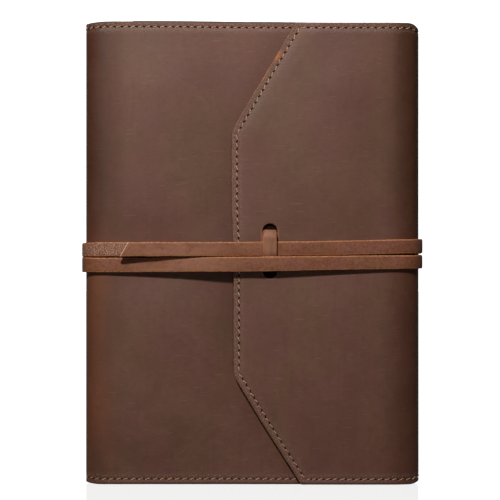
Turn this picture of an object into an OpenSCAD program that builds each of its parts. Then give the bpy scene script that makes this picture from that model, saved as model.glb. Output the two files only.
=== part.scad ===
// Leather notebook cover for a small refill notebook, shut and tied with a flat strap.
// It stands upright on its bottom edge. The front looks towards -Y, +X is to the right
// of someone facing it, and +Z runs up along the spine. The origin is the middle of the
// bottom of the whole tied bundle. All sizes are in millimetres.

/* [Cover] */
// Width of the shut cover, from the spine to the fore edge
cover_w = 162; // [150:1:180]
// Height of the cover
cover_h = 225; // [215:1:250]
// Thickness of the main leather
leather_t = 1.6; // [1.4:0.1:2]
// Outer radius where the leather turns round the spine and the fore edge
fold_r = 8; // [7:0.5:9]
// Slit left at each fold so that the panels can turn
fold_slit = 0.3; // [0.2:0.1:0.5]

/* [Sleeves] */
// Thickness of the two inner sleeves that hold the refill's boards
sleeve_t = 1.2; // [0.8:0.1:1.6]
// Distance from the spine to the open edge of each sleeve
sleeve_mouth = 23; // [18:1:40]
// Width of the seam that closes the sleeves at top and bottom
seam_w = 6; // [4:0.5:6.5]

/* [Refill notebook] */
// Width of the refill's boards
board_w = 143; // [130:1:143]
// Height of the refill's boards
board_h = 211; // [190:1:212]
// Thickness of each board
board_t = 1.6; // [1:0.1:2]
// How far the pages stop short of the boards' free edges
page_inset = 3; // [1:0.5:6]
// Thickness of each half of the page block
half_pages_t = 6; // [4:0.5:9]

/* [Flap] */
// Thickness of the thin leather lining behind it
lining_t = 0.6; // [0.5:0.1:1]
// How far the straight part of the free edge lies left of the middle
flap_edge_x = 10; // [0:1:25]
// Where the free edge meets the top and bottom, right of the middle
flap_corner_x = 22; // [10:1:40]
// Height of each slanted part of the free edge
flap_slant_h = 53; // [35:1:75]

/* [Strap] */
// Width of the flat strap
strap_w = 6.8; // [6:0.1:7]
// Thickness of the strap
strap_t = 1.9; // [1.4:0.1:2.2]
// Height of the upper turn at the spine
upper_left_z = 114.4; // [100:0.1:130]
// Height of the upper turn at the fore edge
upper_right_z = 116; // [100:0.1:130]
// Distance between the middles of the two turns
turn_step = 7.8; // [7.6:0.1:12]
// Middle of the keeper bar, right of the middle of the cover
bar_x = 8.6; // [4:0.1:12]
// Diameter of the two holes that the keeper bar passes through
hole_d = 7.2; // [7:0.1:9]
// Height of the upper hole's centre
upper_hole_z = 123.4; // [115:0.1:135]
// Distance between the two holes
hole_step = 19.5; // [17:0.5:24]
// Length of the tail's loose end, left of the keeper bar
tail_len = 67; // [40:1:75]
// How far the tail's tip stands off the run below it
tip_lift = 2.2; // [0:0.1:4]
// Length that the slanted cut takes off the tail's lower corner
tip_slant = 4; // [0:0.5:8]

/* [Stitches] */
// Distance from one stitch to the next
stitch_pitch = 3.6; // [3:0.1:5]
// Length of the thread that shows in each stitch
stitch_len = 2.7; // [2:0.1:3]
// Width of the thread
thread_w = 0.7; // [0.4:0.1:1]
// Distance from the leather's edge to the stitches
stitch_inset = 2.6; // [2:0.1:4]

/* [Hidden] */
$fn = 64;

// Clearance between panels that move apart
gap = 0.3;
// Clearance between the flap's lining and the front cover
flap_gap = 0.4;
// How far the thread stands proud of the leather
thread_h = 0.2;
// Thin layers stop this far short of the top and bottom edges
trim = 0.5;
// Thickness of the refill's spine, and how far it lies behind the boards' edges
spine_board_t = 0.8;
spine_hollow = 3.8;
// The strap is pared to this thickness where it runs behind the flap
pared_t = 1;
// Length over which the second turn climbs onto the first at the back
climb = 2.5;

// Across the book, from the back face to the front
inner_t = leather_t + board_t + sleeve_t;
book_t = 2 * (inner_t + half_pages_t) + 3 * gap;
flap_stack = flap_gap + lining_t + leather_t;
front_proud = flap_stack + strap_t + max(tip_lift, strap_t);
whole_d = 2 * strap_t + book_t + front_proud;
y_back = whole_d / 2 - 2 * strap_t;
y_front = y_back - book_t;
y_flap = y_front - flap_stack;
y_mid = (y_back + y_front) / 2;

// Along the width
x_spine = -cover_w / 2;
x_fore = cover_w / 2;
flat_left = x_spine + fold_r;
flat_right = x_fore - fold_r;
front_end = flat_right + 1.6;
sleeve_left = x_spine + sleeve_mouth;

// Up the height
board_z = (cover_h - board_h) / 2;
page_z = board_z + page_inset;
lower_left_z = upper_left_z - turn_step;
lower_right_z = upper_right_z - turn_step;
lower_hole_z = upper_hole_z - hole_step;
run_tilt = atan((upper_right_z - upper_left_z) / cover_w);

// Half of the slit between two panels, as an angle about the fold's centre
slit_angle = asin(fold_slit / 2 / fold_r);
// Angle by which the strap's turns stop short of the middle of a fold, so that the
// panels can open flat without crushing them
strap_stop = 12;
// Slope of the flap's slanted edges
lean = atan(flap_slant_h / (flap_edge_x + flap_corner_x));

LEATHER = "#5e443a";
LINING = "#6b4a3c";
STRAP = "#85583f";
THREAD = "#a8836c";
BOARD = "#2f2a28";
PAPER = "#efe9dc";

// A plate between two heights
module plate(x0, x1, y0, y1, z0, z1) {
    translate([x0, y0, z0])
        cube([x1 - x0, y1 - y0, z1 - z0]);
}

// Half of a rounded fold: a sheet of thickness t and outer radius r, bent about an
// upright line. It starts flush with the panel at angle from, and turns through turn.
module bend(x, y, r, t, z0, z1, from, turn) {
    translate([x, y, z0])
        rotate([0, 0, from])
            rotate_extrude(angle = turn)
                translate([r - t, 0])
                    square([t, z1 - z0]);
}

// The upright strip at the spine (side -1) or the fore edge (side 1): a flat middle
// and half of the fold at each end, stopping short of each fold's middle by an angle.
// Its outer face lies outside the leather's by proud.
module side_strip(side, y_far, y_near, proud, t, z0, z1, stop) {
    x = side * flat_right;
    r = fold_r + proud;
    x_out = side * (x_fore + proud);
    x_in = x_out - side * t;
    from = side < 0 ? 180 : 0;
    turn = side * (45 - stop);
    plate(min(x_out, x_in), max(x_out, x_in), y_near + fold_r, y_far - fold_r, z0, z1);
    bend(x, y_far - fold_r, r, t, z0, z1, from, turn);
    bend(x, y_near + fold_r, r, t, z0, z1, from, -turn);
}

// One turn of strap over the outside of a side strip
module side_turn(side, y_near, z) {
    side_strip(side, y_back, y_near, strap_t, strap_t,
               z - strap_w / 2, z + strap_w / 2, strap_stop);
}

// A row of slanted stitches from one point to another on a face looking along side * Y
module stitch_row(x0, z0, x1, z1, y, side) {
    length = norm([x1 - x0, z1 - z0]);
    count = floor(length / stitch_pitch);
    turn = atan2(z1 - z0, x1 - x0);
    for (i = [0 : count - 1]) {
        at = (i + 0.5) / count;
        translate([x0 + at * (x1 - x0), y + side * thread_h / 2, z0 + at * (z1 - z0)])
            rotate([0, -turn - 10, 0])
                cube([stitch_len, thread_h, thread_w], center = true);
    }
}

// Rows along the top and bottom edges
module edge_rows(x0, x1, y, side) {
    for (z = [stitch_inset, cover_h - stitch_inset])
        stitch_row(x0, z, x1, z, y, side);
}

// A sleeve: a sheet over the board, with seams round three sides that reach the cover
module sleeve(x_seam, y_cover, side) {
    y_sheet = y_cover + side * (board_t + sleeve_t);
    lo = min(y_cover, y_sheet);
    hi = max(y_cover, y_sheet);
    y_pocket = y_cover + side * board_t;
    difference() {
        plate(sleeve_left, x_seam, lo, hi, trim, cover_h - trim);
        plate(sleeve_left - 1, flat_left + board_w + gap,
              min(y_cover - side, y_pocket), max(y_cover - side, y_pocket),
              seam_w, cover_h - seam_w);
    }
}

// A flat run of strap: an outline seen from above, raised to the strap's width and
// tilted about its left end so that its right end sits higher or lower
module run(points, x_left, z_left, tilt) {
    translate([x_left, 0, z_left])
        rotate([0, -tilt, 0])
            translate([-x_left, 0, -strap_w / 2])
                linear_extrude(strap_w)
                    polygon(points);
}

// ---- Back panel -------------------------------------------------------------

module back_cover() {
    color(LEATHER) {
        plate(flat_left, flat_right, y_back - leather_t, y_back, 0, cover_h);
        bend(flat_left, y_back - fold_r, fold_r, leather_t, 0, cover_h,
             90, 45 - slit_angle);
        bend(flat_right, y_back - fold_r, fold_r, leather_t, 0, cover_h,
             90, slit_angle - 45);
    }
}

module back_sleeve() {
    color(LINING)
        sleeve(flat_right, y_back - leather_t, -1);
}

module back_thread() {
    color(THREAD)
        edge_rows(flat_left, flat_right, y_back, 1);
}

module refill_back_board() {
    color(BOARD)
        plate(flat_left, flat_left + board_w, y_back - leather_t - board_t,
              y_back - leather_t, board_z, board_z + board_h);
}

module page_block_back() {
    color(PAPER)
        plate(flat_left, flat_left + board_w - page_inset,
              y_mid + gap / 2, y_mid + gap / 2 + half_pages_t,
              page_z, page_z + board_h - 2 * page_inset);
}

// The two turns cross behind the back panel, the second one on top of the first
module strap_back_turns() {
    down = atan((lower_right_z - upper_left_z) / cover_w);
    up = atan((upper_right_z - lower_left_z) / cover_w);
    color(STRAP) {
        run([[flat_left, y_back], [flat_right, y_back],
             [flat_right, y_back + strap_t], [flat_left, y_back + strap_t]],
            x_spine, upper_left_z, down);
        run([[flat_left, y_back], [flat_left + climb, y_back + strap_t],
             [flat_right - climb, y_back + strap_t], [flat_right, y_back],
             [flat_right, y_back + strap_t], [flat_right - climb, y_back + 2 * strap_t],
             [flat_left + climb, y_back + 2 * strap_t], [flat_left, y_back + strap_t]],
            x_spine, lower_left_z, up);
    }
}

// ---- Spine ------------------------------------------------------------------

module spine_leather() {
    color(LEATHER)
        side_strip(-1, y_back, y_front, 0, leather_t, 0, cover_h, slit_angle);
}

module spine_thread() {
    color(THREAD)
        translate([x_spine, y_mid, 0])
            rotate([0, 0, -90])
                edge_rows(-stitch_pitch, stitch_pitch, 0, -1);
}

// It lies loose in the hollow of the leather spine, clear of the pages as they turn
module refill_spine() {
    x = flat_left - spine_hollow;
    half = book_t / 2 - leather_t - board_t - sleeve_t + 0.5;
    color(BOARD)
        plate(x - spine_board_t, x, y_mid - half, y_mid + half, board_z, board_z + board_h);
}

module strap_spine_turns() {
    color(STRAP)
        for (z = [lower_left_z, upper_left_z])
            side_turn(-1, y_front, z);
}

// ---- Front panel ------------------------------------------------------------

module front_cover() {
    color(LEATHER) {
        plate(flat_left, front_end, y_front, y_front + leather_t, 0, cover_h);
        bend(flat_left, y_front + fold_r, fold_r, leather_t, 0, cover_h,
             270, slit_angle - 45);
    }
}

module front_sleeve() {
    color(LINING)
        sleeve(front_end, y_front + leather_t, 1);
}

module front_thread() {
    color(THREAD) {
        edge_rows(flat_left, front_end - stitch_inset, y_front, -1);
        stitch_row(front_end - stitch_inset, 2 * stitch_inset,
                   front_end - stitch_inset, cover_h - 2 * stitch_inset, y_front, -1);
    }
}

module refill_front_board() {
    color(BOARD)
        plate(flat_left, flat_left + board_w, y_front + leather_t,
              y_front + leather_t + board_t, board_z, board_z + board_h);
}

module page_block_front() {
    color(PAPER)
        plate(flat_left, flat_left + board_w - page_inset,
              y_mid - gap / 2 - half_pages_t, y_mid - gap / 2,
              page_z, page_z + board_h - 2 * page_inset);
}

// ---- Fore edge --------------------------------------------------------------

module fore_edge_leather() {
    color(LEATHER)
        side_strip(1, y_back, y_flap, 0, leather_t, 0, cover_h, slit_angle);
}

module fore_edge_lining() {
    color(LINING)
        side_strip(1, y_back, y_flap, -leather_t, lining_t, trim, cover_h - trim,
                   slit_angle);
}

module fore_edge_thread() {
    color(THREAD)
        translate([x_fore, (y_back + y_flap) / 2, 0])
            rotate([0, 0, 90])
                edge_rows(-stitch_pitch, stitch_pitch, 0, -1);
}

module strap_fore_edge_turns() {
    color(STRAP)
        for (z = [lower_right_z, upper_right_z])
            side_turn(1, y_flap, z);
}

// ---- Flap -------------------------------------------------------------------

// Where the flap's free edge is, pulled in by inset: x on a slant at a height, and
// the height at which the slant meets the straight part
function slant_x(z, inset) = flap_corner_x + inset / sin(lean) - z / tan(lean);
function slant_end(inset) = flap_slant_h + inset * tan((90 - lean) / 2);

// The flap's outline, pulled in from its free edge by inset
module flap_outline(inset) {
    polygon([
        [flat_right, 0],
        [slant_x(0, inset), 0],
        [inset - flap_edge_x, slant_end(inset)],
        [inset - flap_edge_x, cover_h - slant_end(inset)],
        [slant_x(0, inset), cover_h],
        [flat_right, cover_h]
    ]);
}

// A sheet of the flap's outline between two depths
module flap_sheet(inset, y_outer, t) {
    translate([0, y_outer + t, 0])
        rotate([90, 0, 0])
            linear_extrude(t)
                flap_outline(inset);
}

// The two holes that the keeper bar passes through
module bar_holes() {
    for (z = [upper_hole_z, lower_hole_z])
        translate([bar_x, y_flap - 1, z])
            rotate([-90, 0, 0])
                cylinder(d = hole_d, h = flap_stack + 2);
}

module flap_leather() {
    color(LEATHER)
        difference() {
            union() {
                flap_sheet(0, y_flap, leather_t);
                bend(flat_right, y_flap + fold_r, fold_r, leather_t, 0, cover_h,
                     270, 45 - slit_angle);
            }
            bar_holes();
        }
}

// Where the pared strap lies behind the flap, grown by a margin
module pared_path(margin, y0, y1) {
    half = strap_w / 2 + margin;
    plate(bar_x - half, bar_x + half, y0, y1,
          upper_left_z - half, upper_hole_z + 2 + margin);
    plate(-flap_edge_x - margin, bar_x, y0, y1, upper_left_z - half, upper_left_z + half);
}

// The pared end behind the lower hole, which the flap's lining traps
module bar_anchor(margin, y0, y1) {
    half = strap_w / 2 + margin;
    plate(bar_x - half, bar_x + half, y0, y1, lower_hole_z - 7 - margin, lower_hole_z + 2);
}

module flap_lining() {
    color(LINING)
        difference() {
            intersection() {
                flap_sheet(trim, y_flap + leather_t, lining_t);
                plate(-cover_w, flat_right, y_flap, y_front, trim, cover_h - trim);
            }
            pared_path(gap, y_flap, y_front);
            bar_anchor(gap, y_flap, y_front);
        }
}

module flap_thread() {
    x_edge = stitch_inset - flap_edge_x;
    x_end = slant_x(stitch_inset, stitch_inset);
    z_end = slant_end(stitch_inset);
    color(THREAD) {
        edge_rows(x_end, flat_right, y_flap, -1);
        stitch_row(slant_x(2 * stitch_inset, stitch_inset), 2 * stitch_inset,
                   x_edge, z_end, y_flap, -1);
        stitch_row(x_edge, z_end, x_edge, lower_left_z - strap_w, y_flap, -1);
        stitch_row(x_edge, upper_left_z + strap_w, x_edge, cover_h - z_end, y_flap, -1);
        stitch_row(x_edge, cover_h - z_end, slant_x(2 * stitch_inset, stitch_inset),
                   cover_h - 2 * stitch_inset, y_flap, -1);
    }
}

// ---- Strap on the front -----------------------------------------------------

// The bar comes out of the upper hole, over the tail, and back in at the lower hole
module strap_keeper_bar() {
    neck_w = 5;
    neck_h = strap_t + 0.2;
    z_tail = upper_left_z + (bar_x - x_spine) * tan(run_tilt);
    z_over = z_tail + strap_w / 2 + 0.2;
    z_under = z_tail - strap_w / 2 - 0.1;
    drop = turn_step - strap_w - 0.2;
    y_on = y_flap - strap_t;
    y_over = y_on - strap_t;
    color(STRAP) {
        translate([bar_x + strap_w / 2, 0, 0])
            rotate([90, 0, -90])
                linear_extrude(strap_w)
                    polygon([
                        [-y_flap, upper_hole_z + neck_h / 2],
                        [-y_over, z_over + 1],
                        [-y_over, z_under],
                        [-y_on, z_under - drop],
                        [-y_on, lower_hole_z - neck_h / 2],
                        [-y_flap, lower_hole_z - neck_h / 2],
                        [-y_flap, z_under - drop],
                        [-y_on, z_under],
                        [-y_on, z_over],
                        [-y_flap, z_over]
                    ]);
        for (z = [upper_hole_z, lower_hole_z])
            plate(bar_x - neck_w / 2, bar_x + neck_w / 2, y_flap, y_flap + leather_t,
                  z - neck_h / 2, z + neck_h / 2);
        bar_anchor(0, y_flap + leather_t, y_flap + leather_t + pared_t);
    }
}

// From the upper hole, behind the flap, and out over the front cover to the spine
module strap_first_run() {
    y_in = y_front - gap;
    color(STRAP) {
        pared_path(0, y_flap + leather_t, y_flap + leather_t + pared_t);
        plate(flat_left, -flap_edge_x - gap, y_in - strap_t, y_in,
              upper_left_z - strap_w / 2, upper_left_z + strap_w / 2);
    }
}

// From the fore edge over the flap and the bar's lower end, then down to the spine
module strap_lower_run() {
    y_on = y_flap - strap_t;
    bar_left = bar_x - strap_w / 2;
    bar_right = bar_x + strap_w / 2;
    y_end = y_front - gap;
    color(STRAP)
        run([[flat_right, y_flap], [bar_right, y_on], [bar_left, y_on],
             [flat_left, y_end], [flat_left, y_end - strap_t],
             [bar_left, y_on - strap_t], [bar_right, y_on - strap_t],
             [flat_right, y_flap - strap_t]],
            x_spine, lower_left_z, run_tilt);
}

// From the fore edge over the flap and under the bar
module strap_tail() {
    color(STRAP)
        run([[flat_right, y_flap], [bar_x - strap_w / 2, y_flap],
             [bar_x - strap_w / 2, y_flap - strap_t], [flat_right, y_flap - strap_t]],
            x_spine, upper_left_z, run_tilt);
}

// The tail's loose end, cut on a slant, standing a little off the run below it
module strap_tail_end() {
    x_root = bar_x - strap_w / 2 - gap;
    x_tip = x_root - tail_len;
    y_tip = y_flap - tip_lift;
    color(STRAP)
        difference() {
            run([[x_root, y_flap], [x_tip, y_tip], [x_tip, y_tip - strap_t],
                 [x_root, y_flap - strap_t]],
                x_spine, upper_left_z, run_tilt);
            translate([x_tip, y_tip + 1, upper_left_z - strap_w / 2])
                rotate([90, 0, 0])
                    linear_extrude(strap_t + 2)
                        polygon([[-1, 0], [-1, 2 * strap_w], [tip_slant, 2 * strap_w],
                                 [tip_slant, strap_w + 1], [0, 0]]);
        }
}

back_cover();
back_sleeve();
back_thread();
refill_back_board();
page_block_back();
strap_back_turns();
spine_leather();
spine_thread();
refill_spine();
strap_spine_turns();
front_cover();
front_sleeve();
front_thread();
refill_front_board();
page_block_front();
fore_edge_leather();
fore_edge_lining();
fore_edge_thread();
strap_fore_edge_turns();
flap_leather();
flap_lining();
flap_thread();
strap_keeper_bar();
strap_first_run();
strap_lower_run();
strap_tail();
strap_tail_end();
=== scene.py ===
"""Looks of the leather notebook cover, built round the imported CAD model. Lengths in mm."""

import math

import bpy
import numpy as np
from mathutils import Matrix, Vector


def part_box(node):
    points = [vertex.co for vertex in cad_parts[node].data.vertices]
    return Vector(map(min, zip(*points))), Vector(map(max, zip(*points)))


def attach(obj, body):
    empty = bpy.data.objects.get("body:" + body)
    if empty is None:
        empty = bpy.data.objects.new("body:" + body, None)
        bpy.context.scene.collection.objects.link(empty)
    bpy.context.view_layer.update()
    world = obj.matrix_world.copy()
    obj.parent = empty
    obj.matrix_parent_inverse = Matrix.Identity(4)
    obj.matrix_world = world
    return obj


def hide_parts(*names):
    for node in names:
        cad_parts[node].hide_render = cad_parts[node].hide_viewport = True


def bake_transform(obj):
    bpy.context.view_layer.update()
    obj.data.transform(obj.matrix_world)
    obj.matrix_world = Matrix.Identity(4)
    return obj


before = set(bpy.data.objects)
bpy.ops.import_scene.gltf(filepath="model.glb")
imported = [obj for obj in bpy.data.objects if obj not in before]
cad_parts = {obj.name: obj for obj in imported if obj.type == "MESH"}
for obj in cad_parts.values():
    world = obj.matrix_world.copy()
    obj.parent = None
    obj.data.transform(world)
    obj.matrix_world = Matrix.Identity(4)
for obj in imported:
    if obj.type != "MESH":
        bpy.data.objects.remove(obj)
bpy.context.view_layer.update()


def span(node):
    """Lowest and highest corner of a CAD node, in mm."""
    low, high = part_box(node)
    return np.array(low) * 1000.0, np.array(high) * 1000.0


# ---- Sizes, from the CAD model ------------------------------------------------
HEIGHT = span("front_cover")[1][2]
Y_FRONT = span("front_cover")[0][1]
FRONT_END = span("front_cover")[1][0]
Y_BACK = span("back_cover")[1][1]
Y_FLAP = span("flap_leather")[0][1]
X_SPINE = span("spine_leather")[0][0]
X_FORE = span("fore_edge_leather")[1][0]
FLAP_EDGE = span("flap_leather")[0][0]
SLEEVE_LEFT = span("front_sleeve")[0][0]
Y_MID = (Y_BACK + Y_FRONT) / 2
Y_FORE_MID = (Y_BACK + Y_FLAP) / 2
STRAP_T = X_SPINE - span("strap_spine_turns")[0][0]
# The same sizes as in the CAD source, where the nodes' boxes can't give them
LEATHER = 1.6
BOARD_T = 1.6
SLEEVE_T = 1.2
STRAP_W = 6.8
UPPER_HOLE, LOWER_HOLE = 123.4, 103.9
HOLE_R = 3.6
CORNER_X = 22.0
SLANT_H = 53.0
STITCH_IN = 2.6
PITCH = 3.6
# A hair thinner than the CAD lining
LINING_T = 0.55
# Width of the strap's upper run as it lies
UPPER_W = 7.0
LOWER_LEFT = span("strap_spine_turns")[0][2] + STRAP_W / 2
UPPER_LEFT = span("strap_spine_turns")[1][2] - STRAP_W / 2
LOWER_RIGHT = span("strap_fore_edge_turns")[0][2] + STRAP_W / 2
UPPER_RIGHT = span("strap_fore_edge_turns")[1][2] - STRAP_W / 2
BAR_LOW, BAR_HIGH = span("strap_keeper_bar")
BAR_X = (BAR_LOW[0] + BAR_HIGH[0]) / 2
STRAP_Z = (LOWER_LEFT + UPPER_LEFT) / 2
# Heights between which the leather's grid is finer, round the strap and the bar
FINE_FROM, FINE_TO = 97, 130
# Slope of the flap's slanted edges, in x for each mm of height
SLANT = (CORNER_X - FLAP_EDGE) / SLANT_H


# ---- Smooth random numbers ----------------------------------------------------
def waves(a, b, size, seed, count=14):
    """Smooth noise over two coordinates, about -1 to 1, with bumps of about this size."""
    rng = np.random.default_rng(seed)
    total = np.zeros(np.broadcast(a, b).shape)
    for _ in range(count):
        angle, phase = rng.uniform(0, 2 * math.pi, 2)
        k = 2 * math.pi / size * rng.uniform(0.5, 1.1)
        total += np.sin(k * (a * math.cos(angle) + b * math.sin(angle)) + phase)
    return total / math.sqrt(count) / 1.4


def smooth(low, high, value):
    """0 below low, 1 above high, and an even slope between."""
    t = np.clip((value - low) / (high - low), 0, 1)
    return t * t * (3 - 2 * t)


# ---- The leather's line in plan -----------------------------------------------
FINE = 0.1
def between(at, along, table):
    """Rows of a two-column table, read between its own rows."""
    return np.stack([np.interp(at, along, table[:, k]) for k in (0, 1)], -1)


class Path:
    """A line in plan by arc length, with its outward side. It runs on straight past its ends."""

    def __init__(self, points, side, soften=1.2):
        points = np.array(points, float)
        step = np.hypot(*np.diff(points, axis=0).T)
        along = np.concatenate([[0], np.cumsum(step)])
        even = np.linspace(0, along[-1], round(along[-1] / FINE) + 1)
        line = between(even, along, points)
        reach = int(soften / FINE)
        if reach:
            pad = np.concatenate([
                line[0] + (line[0] - line[1]) * np.arange(reach, 0, -1)[:, None],
                line,
                line[-1] + (line[-1] - line[-2]) * np.arange(1, reach + 1)[:, None],
            ])
            kernel = np.hanning(2 * reach + 3)[1:-1]
            kernel /= kernel.sum()
            line = np.stack([np.convolve(pad[:, k], kernel, "valid") for k in (0, 1)], 1)
        step = np.hypot(*np.diff(line, axis=0).T)
        self.s = np.concatenate([[0], np.cumsum(step)])
        self.line = line
        tangent = np.gradient(line, self.s, axis=0)
        tangent /= np.linalg.norm(tangent, axis=1)[:, None]
        self.normal = side * np.stack([-tangent[:, 1], tangent[:, 0]], 1)
        self.tangent = tangent
        self.length = self.s[-1]

    def at(self, s):
        """Points and outward normals at these lengths."""
        s = np.asarray(s, float)
        inside = np.clip(s, 0, self.length)
        point = between(inside, self.s, self.line)
        normal = between(inside, self.s, self.normal)
        tangent = np.where((s < 0)[..., None], self.tangent[0], self.tangent[-1])
        point = point + tangent * (s - inside)[..., None]
        return point, normal / np.linalg.norm(normal, axis=-1)[..., None]

    def s_at_x(self, x):
        """The length at which the straight last stretch reaches x."""
        return self.length + (x - self.line[-1, 0]) * np.sign(self.tangent[-1, 0])


def quarter(x, y, a, b, from_deg, to_deg):
    """Part of an ellipse about (x, y), as points."""
    t = np.radians(np.linspace(from_deg, to_deg, 90))
    return list(zip(x + a * np.cos(t), y + b * np.sin(t)))


# Radii of the elliptical turns, across the book and in depth
SPINE_FRONT = (10.5, 8.0)
SPINE_BACK = (9.0, 7.5)
FORE_BACK = (10.0, 8.0)
FORE_FLAP = (14.0, 9.0)

SIDE_X = X_FORE + 0.4

front_path = Path(
    [(-SIDE_X, Y_MID)]
    + quarter(-SIDE_X + SPINE_FRONT[0], Y_FRONT + SPINE_FRONT[1], *SPINE_FRONT, 180, 270)
    + [(FRONT_END, Y_FRONT)],
    -1,
)
spine_path = Path(
    [(-SIDE_X, Y_MID)]
    + quarter(-SIDE_X + SPINE_BACK[0], Y_BACK - SPINE_BACK[1], *SPINE_BACK, 180, 90)
    + [(0, Y_BACK)],
    1,
)
fore_path = Path(
    [(0, Y_BACK)]
    + quarter(SIDE_X - FORE_BACK[0], Y_BACK - FORE_BACK[1], *FORE_BACK, 90, 0)
    + [(SIDE_X, Y_FORE_MID)],
    1,
)
flap_path = Path(
    [(SIDE_X, Y_FORE_MID)]
    + quarter(SIDE_X - FORE_FLAP[0], Y_FLAP + FORE_FLAP[1], *FORE_FLAP, 0, -90)
    + [(FLAP_EDGE, Y_FLAP)],
    1,
)


# ---- How each panel swells, dips and waves -----------------------------------
def tied(z, reach=19.0):
    """1 where the strap pulls the leather in, falling to 0 away from it."""
    return np.exp(-(np.abs((z - STRAP_Z) / reach) ** 3))


def fullness(z):
    """How freely a panel swells: nothing at the top, bottom and strap."""
    ends = smooth(0, 34, z) * smooth(0, 34, HEIGHT - z)
    return ends * (1 - tied(z))


# How far the front sinks along its sewn free edge, where no board fills it, and from which x
SEAM_DIP = 1.5
SEAM_FROM = 69.3


def front_swell(x, z):
    dome = smooth(X_SPINE + 5, -48, x) * (1 - smooth(-46, -8, x))
    swell = 1.5 * dome * fullness(z)
    swell -= 0.45 * np.exp(-(((x + 15) / 11) ** 2)) * (1 - tied(z, 12))
    swell -= SEAM_DIP * smooth(SEAM_FROM, FRONT_END, x)
    free = smooth(X_SPINE + 3, X_SPINE + 16, x) * (1 - smooth(-14, 0, x))
    return swell + free * (0.10 * waves(x, z, 46, 1) + 0.035 * waves(x, z, 15, 2))


def flap_edge_x(z):
    """x of the flap's free edge at a height, with its corners a little rounded."""
    slant = CORNER_X - SLANT * np.minimum(z, HEIGHT - z)
    soft = 0.9
    return FLAP_EDGE + soft * np.log1p(np.exp(np.clip((slant - FLAP_EDGE) / soft, -30, 60)))


def flap_swell(x, z):
    inside = x - flap_edge_x(z)
    dome = smooth(4, 44, inside) * (1 - smooth(40, 74, x))
    swell = 0.9 * dome * fullness(z)
    pressed = 0.75 - 0.6 * (1 - smooth(46, 66, z))
    swell -= pressed * (1 - smooth(0, 13, inside)) * (1 - 0.55 * tied(z, 12))
    free = (1 - smooth(58, 72, x)) * smooth(2, 12, inside) * (1 - tied(z, 13))
    return swell + free * (0.09 * waves(x, z, 46, 3) + 0.03 * waves(x, z, 15, 4))


def back_swell(x, z):
    free = smooth(-70, -55, x) * (1 - smooth(55, 70, x)) * fullness(z)
    return free * (0.8 + 0.14 * waves(x, z, 52, 5) + 0.04 * waves(x, z, 15, 6))


def no_swell(x, z):
    return 0 * x


def settled(x, z):
    """How far the edge of the leather rides up at a point: its corners are rounded off, and
    the front's top edge stands a little high on its left half."""
    right = np.clip((x - 75.5) / (SIDE_X - 75.5), 0, 1) ** 2.5
    left = np.clip((-75 - x) / (SIDE_X - 75), 0, 1) ** 1.5
    top, bottom = smooth(HEIGHT - 14, HEIGHT, z), 1 - smooth(0, 14, z)
    high = 0.5 * smooth(-82, -68, x) * (1 - smooth(-45, 4, x)) - 0.3 * smooth(4, 40, x)
    return top * (high - 2.9 * right - 0.45 * left) + bottom * (1.5 * right + 0.8 * left)


def drift(z):
    """How far the flap's free edge leans from its straight line, in x."""
    low = 0.95 * (1 - smooth(112, 138, z)) + 0.8 * (1 - smooth(0, 34, z))
    return low - 0.6 * smooth(160, HEIGHT, z)


def edge_x(z):
    """x of the flap's free edge as it lies."""
    return flap_edge_x(z) + drift(z)


class Skin:
    """One piece of the leather's face: a stretch of path, and where its flat sheet begins."""

    def __init__(self, path, swell, u0, way):
        self.path, self.swell, self.u0, self.way = path, swell, u0, way
        self.rows = []

    def place(self, s, z, depth):
        """Points that lie depth below the face."""
        s, z, depth = np.broadcast_arrays(*(np.asarray(v, float) for v in (s, z, depth)))
        pull = self.sewn(s, z)[0]
        if self.path is flap_path:
            edge = flap_path.s_at_x(flap_edge_x(z))
            s = s - drift(z) * smooth(edge - 13, edge - 3, s)
        point, normal = self.path.at(s)
        out = self.swell(point[..., 0], z) - pull - depth
        x, y = point[..., 0] + normal[..., 0] * out, point[..., 1] + normal[..., 1] * out
        return np.stack([x, y, z + settled(x, z)], -1)

    def flat(self, s, z, depth):
        return np.stack(np.broadcast_arrays(self.u0 + self.way * s, z, depth), -1)

    def sewn(self, s, z):
        """How far the stitches pull the face in, and how much they have scuffed it."""
        pull, scuff = np.zeros(s.shape), np.zeros(s.shape)
        for (s0, z0), (s1, z1), count in self.rows:
            length = math.hypot(s1 - s0, z1 - z0)
            dx, dz = (s1 - s0) / length, (z1 - z0) / length
            along = (s - s0) * dx + (z - z0) * dz
            off = (z - z0) * dx - (s - s0) * dz
            on = smooth(-1.0, 0.0, along) * smooth(-1.0, 0.0, length - along)
            pull = np.maximum(pull, 0.2 * on * np.exp(-((off / 0.95) ** 2)))
            middle = dx * ((z0 + z1) - HEIGHT) - dz * (s0 + s1)
            out = off if middle > 0 else -off
            at_bottom = z0 + z1 < 2 * STITCH_IN + 0.1
            rim_share, inner_share = (0.35, 0.75) if at_bottom else (1.0, 0.5)
            beside = rim_share * np.exp(-(((out - 1.25) / 0.75) ** 2))
            beside = beside + inner_share * np.exp(-(((out + 1.7) / 0.9) ** 2))
            scuff = np.maximum(scuff, on * beside)
        return pull, scuff

    def sew(self, start, end):
        length = math.hypot(end[0] - start[0], end[1] - start[1])
        self.rows.append((start, end, max(1, round(length / PITCH))))


front_skin = Skin(front_path, front_swell, 0.0, 1)
spine_skin = Skin(spine_path, back_swell, 0.0, -1)
fore_skin = Skin(fore_path, back_swell, -spine_path.length, -1)
flap_skin = Skin(flap_path, flap_swell, -spine_path.length - fore_path.length, -1)

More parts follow.
